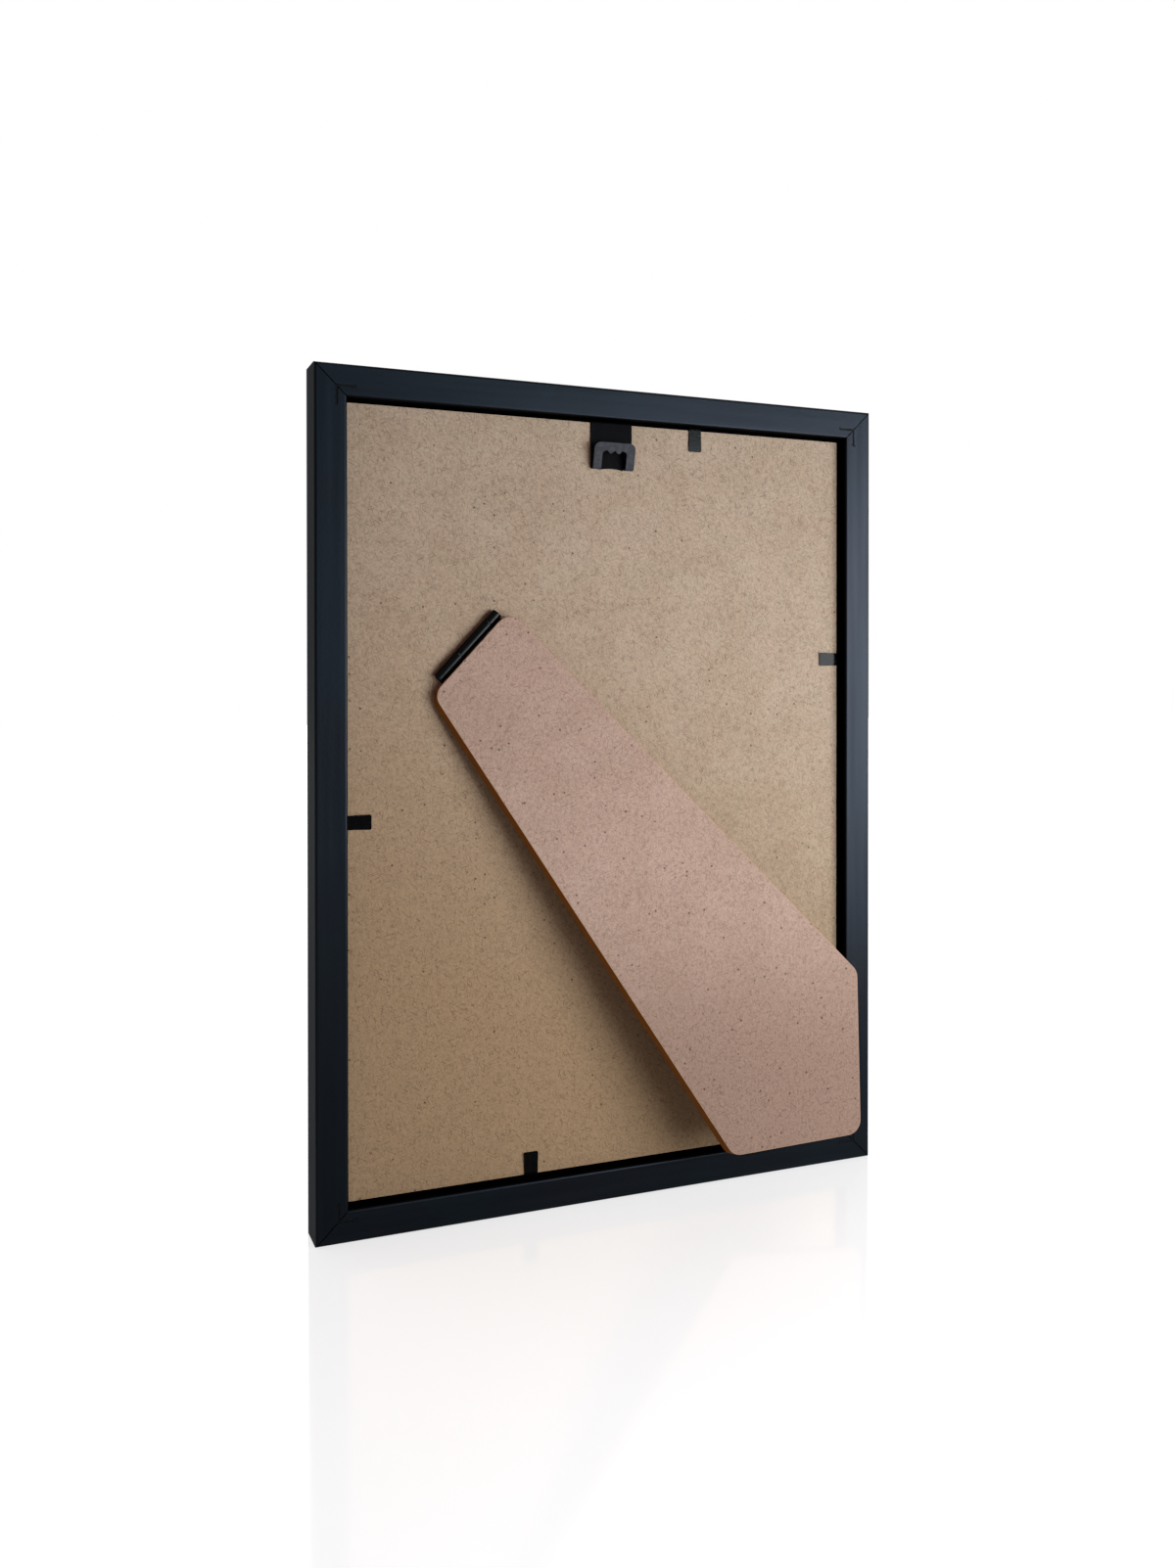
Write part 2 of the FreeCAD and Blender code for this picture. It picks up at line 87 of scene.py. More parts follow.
# Half the width of the broken lacquer over a mitre and along a nail's arm, the size of the crumbs at its
# edges, and how far they reach.
MITRE_HALF_WIDTH = 0.22 * MM
ARM_HALF_WIDTH = 0.38 * MM
CRUMB_SIZE = 0.9 * MM
CRUMB_REACH = 0.5 * MM
# A wall of the recess faces the frame's middle, so the way out to it, counted along its normal, is
# negative. Between these two it is painted black, as painted shade in the recess.
RECESS_SHADE_START = -20 * MM
RECESS_SHADE_FULL = -50 * MM

# Headings of the hardboard's bundles of fibres, in degrees.
FIBRE_TURNS = (80, 115, 20, 150)

# Softened edges of the bent strips, and thickness and softened edge of the leg's edge band: partly the
# sawn edge, mostly a painted shadow.
STRIP_EDGE = 0.1 * MM
SHADOW_BAND_THICKNESS = 0.2 * MM
SHADOW_BAND_EDGE = 0.04 * MM
# Height of each leaf's middle above the pin's centre, in millimetres.
LEAF_LEVELS = {"hinge_board_leaf": -1.85, "hinge_leg_leaf": -1.15}
# The leg's corners before they are rounded, along the open leg and down the pin, in millimetres.
LEG_CORNERS = ((2.5, -21.2), (2.5, 23.4), (210.25, 81.14), (249.0, 41.43), (206.18, -7.5))
LEG_CORNER_RADIUS = 6
# 1 for the side whose band slants out as a painted shadow, the long one below the hinge. The others stay
# square, inside the leg.
SHADOW_BAND_SIDES = (0, 1, 0, 0, 0)
# Rings of the band, the sawn edge widened by a painted shadow: share of the slant, distance inside the leg
# and height above the pin's centre, both in millimetres. They are its top, its foot, and its hem under the
# leg.
SHADOW_BAND_RINGS = ((0, 0.15, 1.7), (1, 0.15, -0.74), (0, 0.5, -0.74))

# Place of each soft box, and its width and height, in metres.
SOFT_BOXES = {
    "soft_box": ((-0.21, 0.42, 0.14), (0.36, 0.32)),
    "front_box": ((0.35, -0.8, 0.4), (0.6, 0.5)),
    "sheen_box": ((-0.31, 0.42, 0.22), (0.36, 0.32)),
    "cool_box": ((-0.6, 1.5, 0.55), (1.4, 0.8)),
}
# How far the tabletop lies below the frame.
TABLE_GAP = 0.1 * MM
# Distances between which the tabletop's glow grows to full white, and its share near the frame.
GLOW_START, GLOW_FULL, GLOW_LEAST = 0.25, 1.0, 0.7

# Sockets of the Mix node when it mixes colours.
FACTOR, FIRST, SECOND, RESULT = 0, 6, 7, 2

# The photograph's size, and the pixel where the lens axis meets it.
PHOTO_WIDTH = 1200
PHOTO_HEIGHT = 1602
AXIS_PIXEL_ACROSS = 700.0
AXIS_PIXEL_DOWN = 705.6
FILM_WIDTH_MM = 36.0


def linear(hex_colour):
    """An sRGB hex colour as linear red, green, blue and alpha."""
    shares = [int(hex_colour[start:start + 2], 16) / 255 for start in (1, 3, 5)]
    bent = [((share + 0.055) / 1.055) ** 2.4 if share > 0.04045 else share / 12.92 for share in shares]
    return (*bent, 1.0)


def colour_property(name, description, hex_colour):
    return FloatVectorProperty(
        name=name, description=description, default=linear(hex_colour),
        size=4, subtype="COLOR", min=0, max=1,
    )


def length_property(name, description, millimetres):
    return FloatProperty(
        name=name, description=description, default=millimetres * MM, unit="LENGTH", min=0
    )


def share_property(name, description, share):
    return FloatProperty(
        name=name, description=description, default=share, subtype="FACTOR", min=0, max=1
    )


def angle_property(name, description, degrees):
    return FloatProperty(
        name=name, description=description, default=math.radians(degrees), subtype="ANGLE"
    )


def power_property(name, description, watts):
    return FloatProperty(name=name, description=description, default=watts, unit="POWER")


def add_node(tree, kind, inputs=None, **settings):
    """Adds a node with its settings, and sets or links each of its inputs."""
    node = tree.nodes.new(kind)
    for name, value in settings.items():
        setattr(node, name, value)
    for key, value in (inputs or {}).items():
        if isinstance(value, bpy.types.NodeSocket):
            tree.links.new(value, node.inputs[key])
        else:
            node.inputs[key].default_value = value
    return node


def new_material(name):
    """An empty material with its tree, its Principled shader and its Object coordinates."""
    material = bpy.data.materials.new(name)
    material.use_nodes = True
    tree = material.node_tree
    tree.nodes.clear()
    shader = add_node(tree, "ShaderNodeBsdfPrincipled")
    add_node(tree, "ShaderNodeOutputMaterial", {"Surface": shader.outputs["BSDF"]})
    return material, tree, shader, add_node(tree, "ShaderNodeTexCoord")


def coat_node(name, material):
    """Puts a material in the slots of a CAD node."""
    piece = frame["nodes"][name]
    if not piece.material_slots:
        piece.data.materials.append(material)
    for slot in piece.material_slots:
        slot.material = material


def relief(tree, shader, height, distance, strength=1.0):
    """Roughens a surface by a height from 0 to 1, as deep as distance."""
    bump = add_node(tree, "ShaderNodeBump", {"Height": height, "Distance": distance, "Strength": strength})
    tree.links.new(bump.outputs["Normal"], shader.inputs["Normal"])


def strokes(tree, coords, turn, length, width, low, high):
    """Fibres lying one way: noise drawn out to their length, and cut off below its peaks."""
    laid = add_node(tree, "ShaderNodeMapping", {
        "Vector": coords, "Rotation": (0, turn, 0), "Scale": (length, width, width),
    }, vector_type="TEXTURE")
    noise = add_node(tree, "ShaderNodeTexNoise", {
        "Vector": laid.outputs["Vector"], "Scale": 1.0, "Detail": 1.0, "Distortion": 0.1,
    })
    peaks = add_node(tree, "ShaderNodeMapRange", {
        "Value": noise.outputs["Fac"], "From Min": low, "From Max": high,
    }, interpolation_type="SMOOTHSTEP")
    return peaks.outputs["Result"]


def specks(tree, coords, spacing, radius, share):
    """Scattered dots with soft edges, in a share of the cells of a loose grid as wide as spacing."""
    cells = add_node(tree, "ShaderNodeTexVoronoi", {"Vector": coords, "Scale": 1 / spacing})
    near = add_node(tree, "ShaderNodeMapRange", {
        "Value": cells.outputs["Distance"],
        "From Min": radius / spacing,
        "From Max": radius / spacing * 0.4,
    }, interpolation_type="SMOOTHSTEP")
    lot = add_node(tree, "ShaderNodeSeparateColor", {"Color": cells.outputs["Color"]})
    drawn = add_node(tree, "ShaderNodeMath", {0: lot.outputs["Red"], 1: share}, operation="LESS_THAN")
    shown = add_node(tree, "ShaderNodeMath", {
        0: near.outputs["Result"], 1: drawn.outputs[0],
    }, operation="MULTIPLY")
    return shown.outputs[0]


def overlay(tree, under, over, mask, share=1.0):
    """Lays one colour over another where a mask from 0 to 1 shows it, and there by share."""
    part = add_node(tree, "ShaderNodeMath", {0: mask, 1: share}, operation="MULTIPLY")
    mixed = add_node(tree, "ShaderNodeMix", {
        FACTOR: part.outputs[0], FIRST: under, SECOND: over,
    }, data_type="RGBA")
    return mixed.outputs[RESULT]


def cloud(tree, coords, size, detail=2.0, low=0.35, high=0.65):
    """Soft patches about as wide as size, from 0 to 1."""
    noise = add_node(tree, "ShaderNodeTexNoise", {"Vector": coords, "Scale": 1 / size, "Detail": detail})
    spread = add_node(tree, "ShaderNodeMapRange", {
        "Value": noise.outputs["Fac"], "From Min": low, "From Max": high,
    }, interpolation_type="SMOOTHSTEP")
    return spread.outputs["Result"]


def grid_faces(rows, columns, first=0):
    """Quads of a grid whose points run along its columns, row after row."""
    corner = first + np.arange(rows - 1)[:, None] * columns + np.arange(columns - 1)[None, :]
    return np.stack([corner, corner + 1, corner + columns + 1, corner + columns], axis=-1).reshape(-1, 4)


def sheet_piece(name, grids, thickness, edge, materials):
    """Joins grids of points of a sheet's middle surface, and gives them thickness and softened edges."""
    points, faces, count = [], [], 0
    for grid in grids:
        points.append(grid.reshape(-1, 3))
        faces.append(grid_faces(*grid.shape[:2], count))
        count += len(points[-1])
    mesh = bpy.data.meshes.new(name)
    mesh.from_pydata(np.concatenate(points).tolist(), [], np.concatenate(faces).tolist())
    welded = bmesh.new()
    welded.from_mesh(mesh)
    bmesh.ops.remove_doubles(welded, verts=welded.verts, dist=WELD)
    welded.to_mesh(mesh)
    welded.free()
    mesh.shade_smooth()
    for material in materials:
        mesh.materials.append(material)
    piece = bpy.data.objects.new(name, mesh)
    bpy.context.scene.collection.objects.link(piece)
    wall = piece.modifiers.new("wall", "SOLIDIFY")
    wall.thickness = thickness
    wall.offset = 0
    wall.use_even_offset = True
    wall.material_offset = len(materials) - 1
    soft = piece.modifiers.new("softened edges", "BEVEL")
    soft.width = edge
    soft.segments = 2
    soft.limit_method = "ANGLE"
    soft.angle_limit = math.radians(50)
    soft.harden_normals = True
    return piece


def walk(runs, step=0.02 * MM):
    """A path whose heading turns evenly along each run, given as a length and a turn.

    Its place is the running sum of the heading's cosine and sine. Returns the distances walked, those at
    the ends of the runs, and the places."""
    ends = np.concatenate([[0], np.cumsum([length for length, turn in runs])])
    headings = np.concatenate([[0], np.cumsum([turn for length, turn in runs])])
    distance = np.linspace(0, ends[-1], int(ends[-1] / step) + 1)
    heading = np.interp(distance, ends, headings)
    middle = (heading[1:] + heading[:-1]) / 2
    stride = np.diff(distance)[:, None] * np.stack([np.cos(middle), np.sin(middle)], axis=-1)
    return distance, ends, np.concatenate([[[0, 0]], np.cumsum(stride, axis=0)])


class MouldingFinish(bpy.types.PropertyGroup):
    """Satin black lacquer on a wood moulding."""

    black: colour_property("Black", "Colour of the lacquer", "#060709")
    blue_cast: colour_property("Blue cast", "Colour of its cooler patches", "#060C10")
    # Painted sheen: the faces across the depth are painted paler than the back, in place of a sheen.
    painted_side_sheen: colour_property("Side black", "Colour of the duller faces across the depth", "#26292D")
    gloss_roughness: share_property("Roughness", "Roughness of the satin lacquer", 0.38)
    patch_width: length_property("Patch width", "Width of the cooler patches", 40)
    peel_width: length_property("Peel width", "Width of the lacquer's ripples", 1.2)
    streak_length: length_property("Streak length", "Length of the rubbed streaks", 90)
    streak_width: length_property("Streak width", "Width of the rubbed streaks", 3)


class HardboardFinish(bpy.types.PropertyGroup):
    """Pressed wood fibre: the smooth board and the pinker leg."""

    board_pale: colour_property("Board, pale", "Pale patches of the board", "#CAB9A4")
    board_dark: colour_property("Board, dark", "Darker patches of the board", "#B8A68D")
    leg_pale: colour_property("Leg, pale", "Pale patches of the leg", "#CCB2A3")
    leg_dark: colour_property("Leg, dark", "Darker patches of the leg", "#BBA291")
    # Painted shade: board and leg turn darker and browner towards their lower ends (the board's also
    # towards +X), where less light falls.
    board_lower_shade: colour_property("Board, browned", "Lower end of the board, pressed hotter", "#AD9373")
    leg_lower_shade: colour_property("Leg, browned", "Lower end of the leg", "#A68C7D")
    rosy: colour_property("Rosy", "Redder patches of the felt", "#BF9D8A")
    fibre: colour_property("Fibre", "Dark fibres in the felt", "#503C2A")
    speck: colour_property("Speck", "Bark specks", "#4A3527")
    # Partly real, partly painted shade: the sawn edge's brown is darkened to the shade along the leg's
    # edge.
    sawn_edge_and_shade: colour_property("Sawn edge", "Scorched saw cut", "#85501C")
    rim: colour_property("Rim", "Broken rim of the cut", "#CDA98C")
    fibre_length: length_property("Fibre length", "Length of a bundle of fibres", 4)
    fibre_width: length_property("Fibre width", "Width of a bundle, drawn coarse enough to show", 0.36)
    # Painted shadow: the band along the leg's edge widens to this at the foot, as the leg's shadow does.
    shadow_band_reach: length_property("Slant", "How far the foot of the leg's saw cut stands out", 1.3)


class HangerShape(bpy.types.PropertyGroup):
    """The strip over the board's top edge, folded up at its lower end into a toothed bracket."""

    thickness: length_property("Thickness", "Thickness of the strip", 0.7)
    flap: length_property("Flap", "Length in front of the board", 10)
    bend_radius: length_property("Bend radius", "Radius of the bends over the board's edge", 0.5)
    fold_radius: length_property("Fold radius", "Radius of the fold, to the middle of the strip", 1.15)
    lean: angle_property("Lean", "Lean of the bracket", 14.8)
    corner_radius: length_property("Corner radius", "Radius of the bracket's corners", 2.6)
    window_width: length_property("Window width", "Width of the window", 10.4)
    crest_band: length_property("Crest band", "From the notches to the crest", 3.3)
    tooth_depth: length_property("Tooth depth", "Depth of the notches", 1.15)
    tooth_pitch: length_property("Tooth pitch", "Distance between two notches", 3.3)
    shoulder_drop: length_property("Shoulder drop", "How far the window's corners are rounded down", 1.5)
    scoop: length_property("Scoop", "Rise of the plate's hollow lower edge", 0.6)


class HingeShape(bpy.types.PropertyGroup):
    """Two leaves whose edges are curled round one pin."""

    length: length_property("Length", "Length of the hinge", 34.4)
    thickness: length_property("Thickness", "Thickness of the leaves", 0.6)
    knuckle_radius: length_property("Knuckle radius", "Outer radius of the curled knuckles", 2.0)
    leaf_reach: length_property("Leaf reach", "From the pin to the leaf's far edge", 15)
    joggle: length_property("Joggle", "Width of the step between leaf and knuckle", 2.6)
    curl: angle_property("Curl", "Turn of a knuckle", 318)
    first_break_share: share_property("First break", "Place of the upper gap along the hinge", 0.16)
    second_break_share: share_property("Second break", "Place of the lower gap along the hinge", 0.64)
    gap: length_property("Gap", "Gap between two knuckles", 0.25)


class StageSettings(bpy.types.PropertyGroup):
    """The tabletop, the lamps and the camera."""

    table_white: colour_property("Tabletop", "Colour of the tabletop", "#B6BEC6")
    table_width: length_property("Table width", "Width of the tabletop", 12000)
    table_edge: length_property("Table edge", "How far the tabletop reaches towards the camera", 500)
    key_power: power_property("Key", "Power of the soft box", 2.08)
    front_power: power_property("Front", "Power of the box before the picture", 4)
    sheen_power: power_property("Sheen", "Power of the box that gloss shows", 11.0)
    cool_power: power_property("Cool", "Power of the cool box", 15.0)
    camera_place: FloatVectorProperty(
        name="Camera", description="Place of the lens",
        default=(0.2061, 0.5234, 0.2072), subtype="TRANSLATION",
    )
    camera_heading: angle_property("Heading", "Turn of the view from the square back view", -24.65)
    camera_dip: angle_property("Dip", "How far the view points down", 0.44)
    lens: FloatProperty(
        name="Lens", description="Focal length in millimetres on a 36 mm film", default=31.9
    )


class FrameLooks(bpy.types.PropertyGroup):
    """Everything that a user would change."""

    moulding: PointerProperty(type=MouldingFinish)
    hardboard: PointerProperty(type=HardboardFinish)
    hanger: PointerProperty(type=HangerShape)
    hinge: PointerProperty(type=HingeShape)
    stage: PointerProperty(type=StageSettings)


def corner_marks(tree, coords):
    """1 where the lacquer is broken at the corners, over the mitres and along the nails' arms, and else 0.

    Counted inwards from the frame's outer edges, across and up are equal on a mitre, and the smaller of
    them is the nail's inset along its arms. Noise makes their edges ragged, as crushed wood is."""
    inward = add_node(tree, "ShaderNodeVectorMath", {0: coords, 1: FRAME_MIDDLE}, operation="SUBTRACT")
    inward = add_node(tree, "ShaderNodeVectorMath", {0: inward.outputs["Vector"]}, operation="ABSOLUTE")
    inward = add_node(tree, "ShaderNodeVectorMath", {
        0: FRAME_HALF_SIZE, 1: inward.outputs["Vector"],
    }, operation="SUBTRACT")
    noise = add_node(tree, "ShaderNodeTexNoise", {
        "Vector": coords, "Scale": 1 / CRUMB_SIZE, "Detail": 1.0,
    })
    ragged = add_node(tree, "ShaderNodeVectorMath", {
        0: noise.outputs["Color"], 1: (CRUMB_REACH,) * 3, 2: inward.outputs["Vector"],
    }, operation="MULTIPLY_ADD")
    place = add_node(tree, "ShaderNodeSeparateXYZ", {"Vector": ragged.outputs["Vector"]})
    across, up = place.outputs["X"], place.outputs["Z"]
    mitre = add_node(tree, "ShaderNodeMath", {0: across, 1: up, 2: MITRE_HALF_WIDTH}, operation="COMPARE")
    smaller = add_node(tree, "ShaderNodeMath", {0: across, 1: up}, operation="MINIMUM")
    larger = add_node(tree, "ShaderNodeMath", {0: across, 1: up}, operation="MAXIMUM")
    # The noise's mean adds half of its reach.
    inset = NAIL_INSET + CRUMB_REACH / 2
    arms = add_node(tree, "ShaderNodeMath", {
        0: smaller.outputs[0], 1: inset, 2: ARM_HALF_WIDTH,
    }, operation="COMPARE")
    ended = add_node(tree, "ShaderNodeMath", {
        0: larger.outputs[0], 1: inset + NAIL_ARM,
    }, operation="LESS_THAN")
    depth = add_node(tree, "ShaderNodeSeparateXYZ", {"Vector": coords})
    marks = add_node(tree, "ShaderNodeMath", {
        0: depth.outputs["Y"], 1: NAILS_BEHIND,
    }, operation="GREATER_THAN")
    for node, how in ((arms, "MULTIPLY"), (ended, "MULTIPLY"), (mitre, "MAXIMUM")):
        marks = add_node(tree, "ShaderNodeMath", {0: marks.outputs[0], 1: node.outputs[0]}, operation=how)
    return marks.outputs[0]


def satin_black_lacquer(name, finish, streak):
    """Satin black lacquer, sprayed on a wood moulding: near black, with a wide sheen and a faint peel.

    It is rubbed down along the rail, and streak is the size of the streaks that this leaves. The faces
    across the moulding's depth are duller than its back and front, and painted a little paler as a painted
    sheen. Those of the recess are painted near black and dull as painted shade."""
    material, tree, shader, texture = new_material(name)
    coords = texture.outputs["Object"]
    marks = corner_marks(tree, coords)
    outward = add_node(tree, "ShaderNodeVectorMath", {0: coords, 1: FRAME_MIDDLE}, operation="SUBTRACT")
    outward = add_node(tree, "ShaderNodeVectorMath", {
        0: outward.outputs["Vector"], 1: (1, 0, 1),
    }, operation="MULTIPLY")
    facing = add_node(tree, "ShaderNodeVectorMath", {
        0: outward.outputs["Vector"], 1: texture.outputs["Normal"],
    }, operation="DOT_PRODUCT")
    recess_shade = add_node(tree, "ShaderNodeMapRange", {
        "Value": facing.outputs["Value"], "From Min": RECESS_SHADE_START, "From Max": RECESS_SHADE_FULL,
    })
    parts = add_node(tree, "ShaderNodeSeparateXYZ", {"Vector": texture.outputs["Normal"]})
    square = add_node(tree, "ShaderNodeMath", {0: parts.outputs["Y"]}, operation="ABSOLUTE")
    colour = overlay(tree, finish.black, finish.blue_cast, cloud(tree, coords, finish.patch_width))
    # Painted sheen: the faces across the depth get the paler colour.
    colour = overlay(tree, finish.painted_side_sheen, colour, square.outputs[0])
    # Painted shade: the recess's walls go near black. The corner marks are broken lacquer.
    for mask in (recess_shade.outputs["Result"], marks):
        colour = overlay(tree, colour, linear("#020202"), mask)
    tree.links.new(colour, shader.inputs["Base Color"])
    shader.inputs["Roughness"].default_value = finish.gloss_roughness
    shader.inputs["IOR"].default_value = 1.17
    laid = add_node(tree, "ShaderNodeMapping", {"Vector": coords, "Scale": streak}, vector_type="TEXTURE")
    streaks = add_node(tree, "ShaderNodeTexNoise", {
        "Vector": laid.outputs["Vector"], "Scale": 1.0, "Detail": 2.0,
    })
    face_gloss = add_node(tree, "ShaderNodeMapRange", {
        "Value": streaks.outputs["Fac"], "From Min": 0.3, "From Max": 0.7, "To Min": 0.33, "To Max": 0.44,
    })
    side_gloss = add_node(tree, "ShaderNodeMapRange", {
        "Value": recess_shade.outputs["Result"], "To Min": 0.006, "To Max": 0.002,
    })
    gloss = add_node(tree, "ShaderNodeMapRange", {
        "Value": square.outputs[0],
        "To Min": side_gloss.outputs["Result"],
        "To Max": face_gloss.outputs["Result"],
    })
    kept = add_node(tree, "ShaderNodeMapRange", {
        "Value": marks, "To Min": gloss.outputs["Result"], "To Max": 0.0,
    })
    tree.links.new(kept.outputs["Result"], shader.inputs["Specular IOR Level"])
    shader.inputs["Specular Tint"].default_value = linear("#D2E2FF")
    relief(tree, shader, cloud(tree, coords, finish.peel_width), distance=0.01 * MM)
    return material


def pressed_hardboard(name, colours, felt, finish, downward, span, face):
    """Hardboard: wood fibre felted wet and pressed hot, matte, with fibres and specks of bark.

    Its colours are the pale, the dark and a darker brown one, painted shade that it turns to downward
    over span. Felt is how strongly its grain and its fibres show, and what share of its larger specks
    does.
    What doesn't face the direction face is the sawn edge: brown darkened by painted shade, under a pale
    rim."""
    pale, dark, lower_shade = colours
    grain_share, fibre_share, large_share = felt
    material, tree, shader, texture = new_material(name)
    coords = texture.outputs["Object"]
    colour = overlay(tree, pale, dark, cloud(tree, coords, size=22 * MM), share=0.38)
    colour = overlay(tree, colour, finish.rosy, cloud(tree, coords, size=9 * MM), share=0.15)
    # Painted shade: darker and browner downward over span.
    depth = add_node(tree, "ShaderNodeVectorMath", {0: coords, 1: downward}, operation="DOT_PRODUCT")
    lower_shade_mask = add_node(tree, "ShaderNodeMapRange", {
        "Value": depth.outputs["Value"], "From Min": span[0], "From Max": span[1],
    }, interpolation_type="SMOOTHSTEP")
    colour = overlay(tree, colour, lower_shade, lower_shade_mask.outputs["Result"])
    grain = cloud(tree, coords, size=0.7 * MM, detail=3.0, low=0.3, high=0.7)
    colour = overlay(tree, colour, finish.fibre, grain, grain_share)
    for turn in FIBRE_TURNS:
        fibres = strokes(
            tree, coords, math.radians(turn), finish.fibre_length, finish.fibre_width, low=0.6, high=0.72
        )
        colour = overlay(tree, colour, finish.fibre, fibres, fibre_share)
    small = specks(tree, coords, spacing=2.2 * MM, radius=0.3 * MM, share=0.5)
    colour = overlay(tree, colour, finish.speck, small, share=0.55)
    large = specks(tree, coords, spacing=4 * MM, radius=0.6 * MM, share=large_share)
    colour = overlay(tree, colour, finish.speck, large, share=0.8)
    facing = add_node(tree, "ShaderNodeVectorMath", {
        0: texture.outputs["Normal"], 1: face,
    }, operation="DOT_PRODUCT")
    square = add_node(tree, "ShaderNodeMath", {0: facing.outputs["Value"]}, operation="ABSOLUTE")
    on_face = add_node(tree, "ShaderNodeMapRange", {
        "Value": square.outputs[0], "From Min": 0.93, "From Max": 0.995,
    })
    on_rim = add_node(tree, "ShaderNodeMapRange", {
        "Value": square.outputs[0], "From Min": 0.5, "From Max": 0.8,
    })
    # The edges get the sawn brown, darkened by painted shade, under a pale rim.
    cut = overlay(tree, finish.sawn_edge_and_shade, finish.rim, on_rim.outputs["Result"])
    colour = overlay(tree, cut, colour, on_face.outputs["Result"])
    tree.links.new(colour, shader.inputs["Base Color"])
    shader.inputs["Roughness"].default_value = 0.82
    shader.inputs["IOR"].default_value = 1.4
    shader.inputs["Specular IOR Level"].default_value = 0.12
    relief(tree, shader, grain, distance=0.06 * MM)
    return material


def enamelled_steel(name, hex_colour, roughness, gloss):
    """Black enamel on stamped strip steel: dark and smooth, with a thin pale rub on it."""
    material, tree, shader, texture = new_material(name)
    coords = texture.outputs["Object"]
    rubbed = cloud(tree, coords, size=2.5 * MM)
    colour = overlay(tree, linear(hex_colour), linear("#0E0F12"), rubbed, share=0.2)
    tree.links.new(colour, shader.inputs["Base Color"])
    shader.inputs["Roughness"].default_value = roughness
    shader.inputs["IOR"].default_value = 1.5
    shader.inputs["Specular IOR Level"].default_value = gloss
    relief(tree, shader, cloud(tree, coords, size=0.6 * MM), distance=0.008 * MM)
    return material


def phosphated_steel():
    """Phosphated steel, the strip's other side: a dull blue grey coat of fine crystals."""
    material, tree, shader, texture = new_material("grey_phosphated_steel")
    coords = texture.outputs["Object"]
    crystals = cloud(tree, coords, size=1.6 * MM)
    colour = overlay(tree, linear("#42454D"), linear("#363940"), crystals)
    tree.links.new(colour, shader.inputs["Base Color"])
    shader.inputs["Roughness"].default_value = 0.6
    shader.inputs["Specular IOR Level"].default_value = 0.04
    relief(tree, shader, cloud(tree, coords, size=0.3 * MM), distance=0.01 * MM)
    return material


def bare_steel(name, hex_colour, scale_hex, roughness, metallic):
    """Mild steel wire or strip, drawn or cut: metallic under oil, or dull and black with scale."""
    material, tree, shader, texture = new_material(name)
    coords = texture.outputs["Object"]
    scale = cloud(tree, coords, size=0.8 * MM)
    colour = overlay(tree, linear(hex_colour), linear(scale_hex), scale, share=0.5)
    tree.links.new(colour, shader.inputs["Base Color"])
    shader.inputs["Metallic"].default_value = metallic
    shader.inputs["Roughness"].default_value = roughness
    shader.inputs["Specular IOR Level"].default_value = 0.05
    relief(tree, shader, cloud(tree, coords, size=0.3 * MM), distance=0.01 * MM)
    return material


def float_glass():
    """Float glass, 2 mm: clear, smooth from its making, faintly green. Light goes straight through it."""
    material, tree, shader, texture = new_material("float_glass")
    coords = texture.outputs["Object"]
    shader.inputs["Base Color"].default_value = linear("#FDFEFD")
    shader.inputs["Roughness"].default_value = 0.02
    shader.inputs["IOR"].default_value = 1.5
    shader.inputs["Transmission Weight"].default_value = 1.0
    relief(tree, shader, cloud(tree, coords, size=60 * MM), distance=0.01 * MM, strength=0.2)
    path = add_node(tree, "ShaderNodeLightPath")
    lighting = add_node(tree, "ShaderNodeMath", {
        0: path.outputs["Is Shadow Ray"], 1: path.outputs["Is Diffuse Ray"],
    }, operation="MAXIMUM")
    clear = add_node(tree, "ShaderNodeBsdfTransparent", {"Color": linear("#FDFEFD")})
    pane = add_node(tree, "ShaderNodeMixShader", {
        0: lighting.outputs[0], 1: shader.outputs["BSDF"], 2: clear.outputs["BSDF"],
    })
    surface = next(node for node in tree.nodes if node.type == "OUTPUT_MATERIAL").inputs["Surface"]
    tree.links.new(pane.outputs["Shader"], surface)
    return material


def uncoated_paper():
    """Uncoated paper: bleached pulp, matte, with a faint cloud of fibres."""
    material, tree, shader, texture = new_material("uncoated_paper")
    coords = texture.outputs["Object"]
    pulp = cloud(tree, coords, size=3 * MM, detail=3.0)
    tree.links.new(overlay(tree, linear("#EFEDE8"), linear("#EBE8E2"), pulp), shader.inputs["Base Color"])
    shader.inputs["Roughness"].default_value = 0.9
    relief(tree, shader, cloud(tree, coords, size=0.4 * MM), distance=0.01 * MM)
    return material


class PHOTOFRAME_OT_rails(bpy.types.Operator):
    """Lacquer the four mitred rails"""

    bl_idname = "photoframe.rails"
    bl_label = "Rails"

    def execute(self, context):
        finish = context.scene.photo_frame.moulding
        long, wide = finish.streak_length, finish.streak_width
        level = satin_black_lacquer("satin_black_lacquer_level", finish, (long, wide, wide))
        upright = satin_black_lacquer("satin_black_lacquer_upright", finish, (wide, wide, long))
        for side, lacquer in zip(SIDES, (level, upright, level, upright)):
            coat_node("rail_" + side, lacquer)
        return {"FINISHED"}


class PHOTOFRAME_OT_nails(bpy.types.Operator):
    """Finish the V nails of the corners"""

    bl_idname = "photoframe.nails"
    bl_label = "V nails"

    def execute(self, context):
        steel = bare_steel("scaled_nail_steel", "#020202", "#060607", roughness=0.7, metallic=0.0)
        for corner in ("top_right", "top_left", "bottom_left", "bottom_right"):
            coat_node("v_nail_" + corner, steel)
        return {"FINISHED"}


